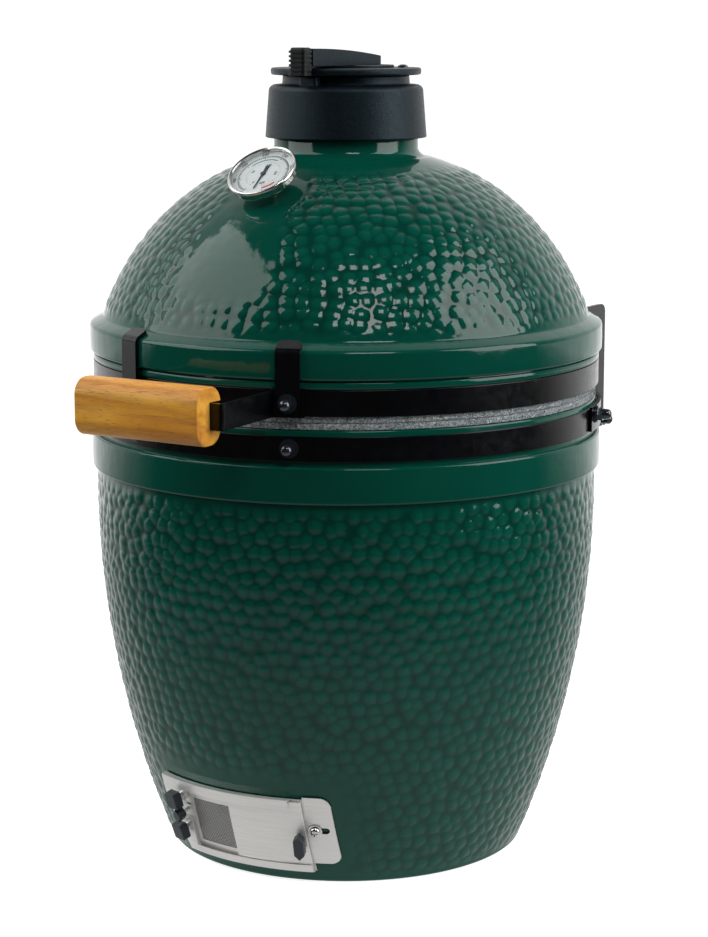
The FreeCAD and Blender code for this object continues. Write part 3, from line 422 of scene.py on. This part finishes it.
def green_glaze():
    """Deep green glaze, lighter on the pebble tops and darker in the grooves: partly thinner glaze on the
    tops, partly a painted highlight on the tops and painted shade in the grooves.
    """
    p = Paint("green_glaze", roughness=0.12, Specular_IOR_Level=0.32)
    relief = p.node("Attribute", attribute_name="relief").outputs["Fac"]
    # Colour by the relief attribute: painted shade in the grooves and a painted highlight on the pebble tops,
    # over thinner glaze on the tops.
    pebble_tone_with_painted_light = p.ramp(relief, (0.0, (0.0008, 0.042, 0.029)), (0.5, (0.0016, 0.070, 0.047)),
                  (1.0, (0.0026, 0.088, 0.061)))
    cloud = p.noise(9.0, 3.0)
    p.set("Base Color", p.blend(p.between(cloud, 0.35, 0.65, 0.0, 0.35), pebble_tone_with_painted_light, (0.0010, 0.046, 0.031)))
    p.set("Roughness", p.between(p.noise(60.0, 3.0), 0.3, 0.7, 0.05, 0.13))
    waves = p.bump(p.noise(38.0, 2.0), 0.0009, 0.5)
    p.bump(p.noise(420.0, 2.0), 0.00006, 0.6, waves)
    return p.material


def fire_clay():
    """Bare refractory clay, sandy to the touch."""
    p = Paint("fire_clay", roughness=0.85)
    p.set("Base Color", p.ramp(p.noise(30.0, 6.0), (0.3, (0.46, 0.38, 0.29)), (0.7, (0.62, 0.54, 0.43))))
    p.bump(p.noise(500.0, 6.0, 0.7), 0.0005, 0.8)
    return p.material


def felt():
    """Grey wool felt: dark between pale fibres."""
    p = Paint("felt", roughness=0.95, Sheen_Weight=0.3, Sheen_Roughness=0.5)
    fibres = p.noise(620.0, 5.0, 0.8, distortion=1.0)
    p.set("Base Color", p.ramp(fibres, (0.40, (0.02, 0.027, 0.03)), (0.5, (0.26, 0.30, 0.31)),
                               (0.62, (0.80, 0.85, 0.86))))
    tufts = p.bump(p.noise(260.0, 5.0, 0.7), 0.0016, 0.9)
    p.bump(fibres, 0.0007, 0.9, tufts)
    return p.material


def black_steel():
    """Satin black coat on flat steel."""
    p = Paint("black_steel", Specular_IOR_Level=0.3)
    cloud = p.noise(25.0, 3.0)
    p.set("Base Color", p.ramp(cloud, (0.3, (0.0015, 0.0017, 0.0022)), (0.7, (0.003, 0.0035, 0.0045))))
    p.set("Roughness", p.between(p.noise(120.0, 4.0), 0.3, 0.7, 0.16, 0.28))
    p.bump(p.noise(1500.0, 3.0), 0.00006, 0.7)
    return p.material


def black_hardware():
    """Blackened, polished nuts and washers."""
    p = Paint("black_hardware", Metallic=0.75, Coat_Weight=0.6, Coat_Roughness=0.05)
    p.set("Base Color", (0.05, 0.06, 0.075))
    p.set("Roughness", p.between(p.noise(300.0, 4.0), 0.3, 0.7, 0.12, 0.26))
    p.bump(p.noise(900.0, 3.0), 0.00005, 0.6)
    return p.material


def brushed(name, colour, roughness, streaks):
    """Drawn or brushed steel, its streaks set by how much each axis is stretched."""
    p = Paint(name)
    lines = p.noise(1.0, 5.0, 0.7, where=p.stretched(streaks))
    darker = tuple(c * 0.82 for c in colour)
    p.set("Base Color", p.ramp(lines, (0.3, darker), (0.7, colour)))
    p.set("Roughness", p.between(lines, 0.3, 0.7, roughness - 0.07, roughness + 0.09))
    smudges = p.noise(45.0, 3.0)
    p.set("Metallic", p.between(smudges, 0.2, 0.8, 0.50, 0.60))
    p.bump(lines, 0.00004, 0.6)
    return p.material


def polished_steel():
    """Bright rolled steel with faint fingermarks."""
    p = Paint("polished_steel", Metallic=1.0)
    p.set("Base Color", p.ramp(p.noise(60.0, 3.0), (0.3, (0.62, 0.62, 0.60)), (0.7, (0.74, 0.74, 0.72))))
    p.set("Roughness", p.between(p.noise(110.0, 4.0), 0.3, 0.7, 0.08, 0.20))
    p.bump(p.noise(700.0, 2.0), 0.00002, 0.5)
    return p.material


def cast_iron_bare():
    """Sand-cast iron without paint."""
    p = Paint("cast_iron_bare", roughness=0.7, Metallic=0.6)
    p.set("Base Color", p.ramp(p.noise(60.0, 5.0), (0.3, (0.05, 0.048, 0.046)), (0.7, (0.11, 0.105, 0.10))))
    p.bump(p.noise(900.0, 5.0, 0.7), 0.0004, 0.8)
    return p.material


def cast_black():
    """Textured black coat with a faint blue sparkle."""
    p = Paint("cast_black", roughness=0.42, Specular_IOR_Level=0.28, Specular_Tint=(0.62, 0.88, 1.0))
    grain = p.noise(1300.0, 3.0, 0.6)
    p.set("Base Color", p.ramp(grain, (0.35, (0.0015, 0.003, 0.005)), (0.62, (0.003, 0.006, 0.010)),
                               (0.8, (0.020, 0.036, 0.055))))
    p.set("Roughness", p.between(p.noise(500.0, 4.0), 0.3, 0.7, 0.34, 0.5))
    soft = p.bump(p.noise(240.0, 4.0, 0.6), 0.0003, 0.5)
    p.bump(grain, 0.00022, 0.9, soft)
    return p.material


def oiled_wood():
    """Orange-brown wood, its grain and pores along the handle."""
    p = Paint("oiled_wood", roughness=0.4, Specular_IOR_Level=0.35)
    long_grain = p.noise(1.0, 6.0, 0.6, where=p.stretched((9, 130, 150)), distortion=0.6)
    broad = p.noise(1.0, 3.0, 0.5, where=p.stretched((5, 34, 42)), distortion=1.2)
    pores = p.noise(1.0, 2.0, 0.5, where=p.stretched((130, 1500, 1500)))
    base = p.ramp(broad, (0.3, (0.62, 0.23, 0.020)), (0.52, (0.86, 0.39, 0.042)), (0.72, (0.97, 0.52, 0.074)))
    streaked = p.blend(p.between(long_grain, 0.5, 0.72, 0.0, 0.6), base, (0.34, 0.125, 0.025))
    pored = p.blend(p.between(pores, 0.57, 0.69, 0.0, 0.62), streaked, (0.20, 0.07, 0.015))
    p.set("Base Color", pored)
    p.set("Roughness", p.between(long_grain, 0.3, 0.7, 0.34, 0.5))
    fine = p.bump(p.between(pores, 0.58, 0.70, 1.0, 0.0), 0.00018, 0.8)
    p.bump(long_grain, 0.00012, 0.5, fine)
    return p.material


def black_rubber():
    """Soft black rubber."""
    p = Paint("black_rubber", roughness=0.5, Specular_IOR_Level=0.3)
    cloud = p.noise(80.0, 4.0)
    p.set("Base Color", p.ramp(cloud, (0.3, (0.002, 0.003, 0.004)), (0.7, (0.005, 0.007, 0.008))))
    p.bump(p.noise(1800.0, 3.0), 0.00006, 0.7)
    return p.material


def knob_plastic():
    """Slate-black moulded plastic."""
    p = Paint("knob_plastic", roughness=0.42)
    cloud = p.noise(90.0, 3.0)
    p.set("Base Color", p.ramp(cloud, (0.3, (0.012, 0.020, 0.026)), (0.7, (0.018, 0.028, 0.036))))
    p.bump(p.noise(1400.0, 3.0), 0.00006, 0.7)
    return p.material


def dial_white():
    """White printed face."""
    p = Paint("dial_white", roughness=0.45)
    p.set("Base Color", p.ramp(p.noise(120.0, 3.0), (0.3, (0.80, 0.82, 0.82)), (0.7, (0.86, 0.88, 0.88))))
    p.bump(p.noise(900.0, 2.0), 0.00002, 0.5)
    return p.material


def ink(name, colour):
    """Printing ink, worn a little thin in places."""
    p = Paint(name, roughness=0.5)
    faded = tuple(c * 1.25 + 0.01 for c in colour)
    p.set("Base Color", p.ramp(p.noise(700.0, 3.0), (0.35, colour), (0.7, faded)))
    return p.material


def dial_glass():
    """Clear, almost flat lens."""
    p = Paint("dial_glass", Base_Color=(0.97, 0.99, 0.99), Transmission_Weight=1.0, IOR=1.12)
    p.set("Roughness", p.between(p.noise(70.0, 3.0), 0.3, 0.7, 0.01, 0.05))
    return p.material


paint = {
    "green_glaze": green_glaze(),
    "fire_clay": fire_clay(),
    "felt": felt(),
    "black_steel": black_steel(),
    "black_hardware": black_hardware(),
    "bare_steel": brushed("bare_steel", (0.90, 0.89, 0.86), 0.36, (25, 25, 1600)),
    "spring_steel": brushed("spring_steel", (0.20, 0.20, 0.21), 0.38, (900, 300, 300)),
    "cast_iron_bare": cast_iron_bare(),
    "cast_black": cast_black(),
    "oiled_wood": oiled_wood(),
    "black_rubber": black_rubber(),
    "knob_plastic": knob_plastic(),
    "dial_white": dial_white(),
    "needle_black": ink("needle_black", (0.012, 0.018, 0.03)),
    "dial_glass": dial_glass(),
    "dial_red": ink("dial_red", (0.55, 0.05, 0.035)),
    "dial_teal": ink("dial_teal", (0.03, 0.22, 0.20)),
    "polished_steel": polished_steel(),
    "screen_steel": brushed("screen_steel", (0.60, 0.60, 0.58), 0.36, (300, 300, 300)),
}

POLISHED = ("thermometer_case", "draft_screw", "draft_screw_washer", "draft_studs")

for row in frame["record"]["subparts"]:
    mesh = nodes[row["node"]].data
    mesh.materials.clear()
    look = "polished_steel" if row["node"] in POLISHED else row["material_slot"]
    mesh.materials.append(paint[look])


# ---- shells --------------------------------------------------------------------------------------
window = (WINDOW_AZIMUTHS, WINDOW_HEIGHTS)
base = lathe_shell("base_glazed", base_outline(), "base", base_relief_share, 11, window)
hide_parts("base_shell")
dome = lathe_shell("dome_glazed", dome_outline(), "dome", dome_relief_share, 23)
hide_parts("dome_shell")


# ---- felt seals ----------------------------------------------------------------------------------
FELT_INNER, FELT_OUTER, FELT_THICK = 207.0, 226.3, 5.5
FELT_LOWS = {"base_gasket": 413.1, "dome_gasket": 419.0}
FIBRES, FIBRE_LENGTH, FIBRE_WIDTH = 24000, 2.4, 0.13


def loose_fibre(draw, low):
    """The three corners of one thin fibre, lying mostly along the face of the felt."""
    turn, z = draw.uniform(0, 2 * math.pi), low + draw.uniform(0.5, FELT_THICK - 0.5)
    out = np.array([math.cos(turn), math.sin(turn), 0.0])
    across = np.array([-out[1], out[0], 0.0])
    lean = across * draw.normal(0, 1.1)
    lean = lean + np.array([0, 0, draw.normal(0, 0.55)]) + out * draw.uniform(0.1, 0.4)
    lean *= draw.uniform(0.5, 1.0) * FIBRE_LENGTH / np.linalg.norm(lean)
    root = out * (FELT_OUTER - 0.1) + np.array([0, 0, z])
    tip = root + lean
    tip[2] = min(max(tip[2], low + 0.1), low + FELT_THICK - 0.1)
    width = np.array([0, 0, FIBRE_WIDTH]) + out * 0.02
    return [(root - width).tolist(), (root + width).tolist(), tip.tolist()]


def felt_ring(low, seed):
    """A ring of felt with a soft, uneven face and loose fibres standing out of it."""
    draw = np.random.default_rng(seed)
    half = FELT_THICK / 2
    side = [(FELT_INNER, low), (FELT_OUTER - 1.2, low)]
    side += [(FELT_OUTER - 0.3 + 0.5 * math.cos(a), low + half * (1 + math.sin(a)))
             for a in np.radians([-62, -40, -20, 0, 20, 40, 62])]
    side += [(FELT_OUTER - 1.2, low + FELT_THICK), (FELT_INNER, low + FELT_THICK)]
    count = 1440
    turn = np.arange(count) * 2 * math.pi / count
    lumps = sum(draw.uniform(0.04, 0.11) * np.sin(turn * waves + draw.uniform(0, 6))
                for waves in (23, 41, 67, 118, 171, 263))
    vertices, faces = [], []
    for k, (r, z) in enumerate(side):
        loose = 1.0 if 1 < k < len(side) - 2 else 0.0
        radius = r + loose * (lumps + draw.normal(0, 0.10, count))
        vertices += np.stack([radius * np.cos(turn), radius * np.sin(turn), np.full(count, z)], 1).tolist()
    for k in range(len(side)):
        low_row, high_row = k * count, (k + 1) % len(side) * count
        faces += [(low_row + j, low_row + (j + 1) % count, high_row + (j + 1) % count, high_row + j)
                  for j in range(count)]
    for _ in range(FIBRES):
        first = len(vertices)
        vertices += loose_fibre(draw, low)
        faces.append((first, first + 1, first + 2))
    return vertices, faces


for seed, (node, low) in enumerate(FELT_LOWS.items()):
    vertices, faces = felt_ring(low, 40 + seed)
    body = "base" if node == "base_gasket" else "dome"
    seal = new_mesh(node + "_felt", vertices, faces, body, "felt")
    seal.data.materials.append(paint["felt"])
    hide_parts(node)


# ---- woven wires of the draft screen -------------------------------------------------------------
def on_belly(x, z, gap):
    """The point at x across the draft door and height z, at a gap from the belly."""
    reach = belly_radius(z) + gap
    turn = math.radians(DOOR_AZIMUTH)
    y = -math.sqrt(reach * reach - x * x)
    return np.array([x * math.cos(turn) - y * math.sin(turn), x * math.sin(turn) + y * math.cos(turn), z])


def screen_wires():
    """Two crossing sets of slanted wires, each a four-sided bar that follows the belly."""
    x_from, x_to, z_from, z_to = MESH_AREA
    middle = ((x_from + x_to) / 2, (z_from + z_to) / 2)
    reach = math.hypot(x_to - x_from, z_to - z_from) / 2
    vertices, faces = [], []
    for slant, depth in ((math.radians(52), 0.0), (math.radians(-38), 0.35)):
        along = (math.cos(slant), math.sin(slant))
        for offset in np.arange(-reach, reach, MESH_PITCH):
            start = (middle[0] - along[1] * offset, middle[1] + along[0] * offset)
            inside = [t for t in np.linspace(-reach, reach, 60)
                      if x_from + 0.3 < start[0] + along[0] * t < x_to - 0.3
                      and z_from + 0.3 < start[1] + along[1] * t < z_to - 0.3]
            for t in inside:
                first = len(vertices)
                for side, lift in ((-1, 0), (1, 0), (1, 1), (-1, 1)):
                    x = start[0] + along[0] * t - along[1] * side * MESH_WIRE / 2
                    z = start[1] + along[1] * t + along[0] * side * MESH_WIRE / 2
                    vertices.append(on_belly(x, z, MESH_GAP + depth + 0.3 * lift).tolist())
                if t != inside[0]:
                    faces += [(first - 4 + k, first - 4 + (k + 1) % 4, first + (k + 1) % 4, first + k)
                              for k in range(4)]
    return vertices, faces


wires = new_mesh("screen_wires", *screen_wires(), "screen_door", "bare_steel", 30.0)
wires.data.materials.append(paint["screen_steel"])
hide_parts("screen_mesh")


# ---- marks on the dial ---------------------------------------------------------------------------
def dial_point(x, y, lift):
    """A point of the dial face: x to the right, y towards the top of the dome."""
    slope = math.radians(DIAL_ELEVATION)
    rise = DIAL_FACE + lift
    back = y * math.sin(slope) - rise * math.cos(slope)
    up = y * math.cos(slope) + rise * math.sin(slope)
    return DIAL_ANCHOR[0] + x, DIAL_ANCHOR[1] + back, DIAL_ANCHOR[2] + up


def clockwise(hours, radius):
    """A place on the dial by clock time."""
    angle = math.radians(90 - hours * 30)
    return radius * math.cos(angle), radius * math.sin(angle)


def arc_mark(hours_from, hours_to, inner, outer, steps):
    """A flat band of the dial between two clock times."""
    vertices, faces = [], []
    for k in range(steps + 1):
        hours = hours_from + (hours_to - hours_from) * k / steps
        vertices += [clockwise(hours, inner), clockwise(hours, outer)]
        if k:
            faces.append((2 * k - 2, 2 * k - 1, 2 * k + 1, 2 * k))
    return vertices, faces


def numeral(text, hours, radius, size):
    """The flat outline of a number whose head points away from the dial's centre line."""
    curve = bpy.data.curves.new("numeral", "FONT")
    curve.body, curve.size, curve.offset = text, size, 0.11
    curve.align_x, curve.align_y = "CENTER", "CENTER"
    maker = bpy.data.objects.new("numeral", curve)
    bpy.context.scene.collection.objects.link(maker)
    bpy.context.view_layer.update()
    flat = bpy.data.meshes.new_from_object(maker.evaluated_get(bpy.context.evaluated_depsgraph_get()))
    bpy.data.objects.remove(maker)
    cx, cy = clockwise(hours, radius)
    turn = -math.radians(hours * 30)
    vertices = [(cx + v.co.x * math.cos(turn) - v.co.y * math.sin(turn),
                 cy + v.co.x * math.sin(turn) + v.co.y * math.cos(turn)) for v in flat.vertices]
    return vertices, [tuple(polygon.vertices) for polygon in flat.polygons]


def dial_marks(name, parts, lift, slot):
    """One piece of flat marks, every face turned to look out of the dial."""
    vertices, faces = [], []
    for part_vertices, part_faces in parts:
        first = len(vertices)
        vertices += [dial_point(x, y, lift) for x, y in part_vertices]
        for face in part_faces:
            loop = tuple(first + k for k in face)
            faces.append(loop if signed_area(part_vertices, face) >= 0 else loop[::-1])
    marks = new_mesh(name, vertices, faces, "dome")
    marks.data.materials.append(paint[slot])


def signed_area(points, face):
    """Twice the area of a flat loop, above zero if it runs anticlockwise."""
    corners = [points[k] for k in face]
    return sum(a[0] * b[1] - b[0] * a[1] for a, b in zip(corners, corners[1:] + corners[:1]))


def scale_hours(share):
    """Clock time on the scale, which runs clockwise from about 7 to 5."""
    return 6.75 + 10.5 * share


ticks = []
for k in range(71):
    hours, long_one = scale_hours(k / 70), k % 10 == 0
    ticks.append(arc_mark(hours - 0.03, hours + 0.03, 20.4 if long_one else 21.6, 23.2, 1))
for k in range(41):
    hours = scale_hours(k / 40)
    ticks.append(arc_mark(hours - 0.018, hours + 0.018, 15.0 if k % 5 else 14.2, 16.0, 1))
outer_numbers = [numeral(str(50 + 50 * k), scale_hours(k / 7), 26.1, 4.3) for k in range(8)]
inner_numbers = [numeral(str(50 * k), scale_hours(k / 4), 11.6, 3.4) for k in range(5)]
dial_marks("dial_ticks", ticks + [arc_mark(6.75, 17.25, 23.0, 23.4, 90)], 0.06, "needle_black")
dial_marks("dial_numbers", outer_numbers + inner_numbers, 0.06, "needle_black")
dial_marks("dial_hot_zone", [arc_mark(16.0, 17.25, 17.6, 19.6, 20)], 0.05, "dial_red")
dial_marks("dial_mild_zone", [arc_mark(10.0, 12.6, 18.0, 19.2, 30)], 0.05, "dial_teal")

# ---- camera, floor and lights --------------------------------------------------------------------
scene = bpy.context.scene
scene.view_settings.view_transform = "Standard"
CAMERA_DISTANCE, CAMERA_HEIGHT = 2.277, 0.754
CAMERA_AZIMUTH, CAMERA_TURN, CAMERA_PITCH = 32.0, 0.18, 10.3
camera_data = bpy.data.cameras.new("camera")
camera_data.lens = 96.8
camera_data.sensor_width = 36.0
camera = bpy.data.objects.new("camera", camera_data)
angle = math.radians(CAMERA_AZIMUTH)
camera.location = (CAMERA_DISTANCE * math.sin(angle), -CAMERA_DISTANCE * math.cos(angle), CAMERA_HEIGHT)
camera.rotation_euler = (math.radians(90 - CAMERA_PITCH), 0, math.radians(CAMERA_AZIMUTH - CAMERA_TURN))
scene.collection.objects.link(camera)
scene.camera = camera


def stage_plane(name, size, location, material):
    mesh = bpy.data.meshes.new(name)
    half = size / 2
    corners = [(-half, -half, 0), (half, -half, 0), (half, half, 0), (-half, half, 0)]
    mesh.from_pydata(corners, [], [(0, 1, 2, 3)])
    mesh.materials.append(material)
    plane = bpy.data.objects.new(name, mesh)
    plane.location = location
    scene.collection.objects.link(plane)
    return plane


def camera_only(tree, seen, lit):
    """Mixes two shaders: what the camera sees, and what lights and mirrors in the object."""
    mix = tree.nodes.new("ShaderNodeMixShader")
    tree.links.new(tree.nodes.new("ShaderNodeLightPath").outputs["Is Camera Ray"], mix.inputs[0])
    tree.links.new(lit, mix.inputs[1])
    tree.links.new(seen, mix.inputs[2])
    return mix.outputs[0]


ROOM_DARK, COVE_BRIGHT = 0.02, 1.25
AWAY = (-math.sin(angle), math.cos(angle), 0)


def studio_floor():
    """White to the camera; in the object's reflections dark in front and bright behind."""
    p = Paint("floor", roughness=0.9)
    p.set("Base Color", p.ramp(p.noise(3.0), (0.3, (0.80, 0.80, 0.80)), (0.7, (0.83, 0.83, 0.83))))
    glow = p.node("Emission", {"Color": (1.0, 1.0, 1.0), "Strength": 0.80}).outputs[0]
    seen = p.node("AddShader", {0: p.shader.outputs[0], 1: glow}).outputs[0]
    place = p.node("NewGeometry").outputs["Position"]
    behind = p.node("VectorMath", {0: place, 1: AWAY}, operation="DOT_PRODUCT").outputs["Value"]
    apart = p.node("VectorMath", {0: place}, operation="LENGTH").outputs["Value"]
    cove = p.between(behind, 0.0, 1.6, 0.03, COVE_BRIGHT)
    pool = p.between(apart, 0.25, 1.3, 0.62, 0.0)
    bright = p.node("Math", {0: cove, 1: pool}, operation="ADD").outputs[0]
    lit = p.node("Emission", {"Color": (1.0, 1.0, 1.0), "Strength": bright}).outputs[0]
    p.tree.links.new(camera_only(p.tree, seen, lit), p.tree.nodes["Material Output"].inputs["Surface"])
    return p.material


stage_plane("floor", 60.0, (0, 0, -0.0004), studio_floor())


def studio_world():
    """White to the camera; a dark room in front of the object and a white cove behind it."""
    world = bpy.data.worlds.new("studio")
    world.use_nodes = True
    tree = world.node_tree
    seen = tree.nodes["Background"]
    seen.inputs["Color"].default_value = (1, 1, 1, 1)
    seen.inputs["Strength"].default_value = 1.05
    lit = tree.nodes.new("ShaderNodeBackground")
    away = tree.nodes.new("ShaderNodeVectorMath")
    away.operation = "DOT_PRODUCT"
    away.inputs[1].default_value = AWAY
    tree.links.new(tree.nodes.new("ShaderNodeTexCoord").outputs["Generated"], away.inputs[0])
    room = tree.nodes.new("ShaderNodeMapRange")
    room.interpolation_type = "SMOOTHSTEP"
    settings = {"From Min": 0.05, "From Max": 0.6, "To Min": ROOM_DARK, "To Max": COVE_BRIGHT}
    for socket, value in settings.items():
        room.inputs[socket].default_value = value
    tree.links.new(away.outputs["Value"], room.inputs["Value"])
    tree.links.new(room.outputs["Result"], lit.inputs["Strength"])
    output = tree.nodes["World Output"].inputs["Surface"]
    tree.links.new(camera_only(tree, seen.outputs[0], lit.outputs[0]), output)
    return world


scene.world = studio_world()


def softbox(name, azimuth, distance, height, width, tall, power):
    """Area light at an azimuth from the camera's direction, aimed at the middle of the object."""
    light_data = bpy.data.lights.new(name, "AREA")
    light_data.shape = "RECTANGLE"
    light_data.size, light_data.size_y = width, tall
    light_data.energy = power
    light = bpy.data.objects.new(name, light_data)
    turn = math.radians(CAMERA_AZIMUTH + azimuth)
    light.location = (distance * math.sin(turn), -distance * math.cos(turn), height)
    aim = Vector((0, 0, 0.38)) - light.location
    light.rotation_euler = aim.to_track_quat("-Z", "Y").to_euler()
    scene.collection.objects.link(light)
    return light


softbox("left_softbox", -82, 2.3, 2.0, 2.4, 2.4, 56)
softbox("right_softbox", 72, 2.3, 1.5, 1.6, 2.4, 58)
softbox("front_softbox", 12, 1.9, 2.3, 0.8, 0.7, 14)
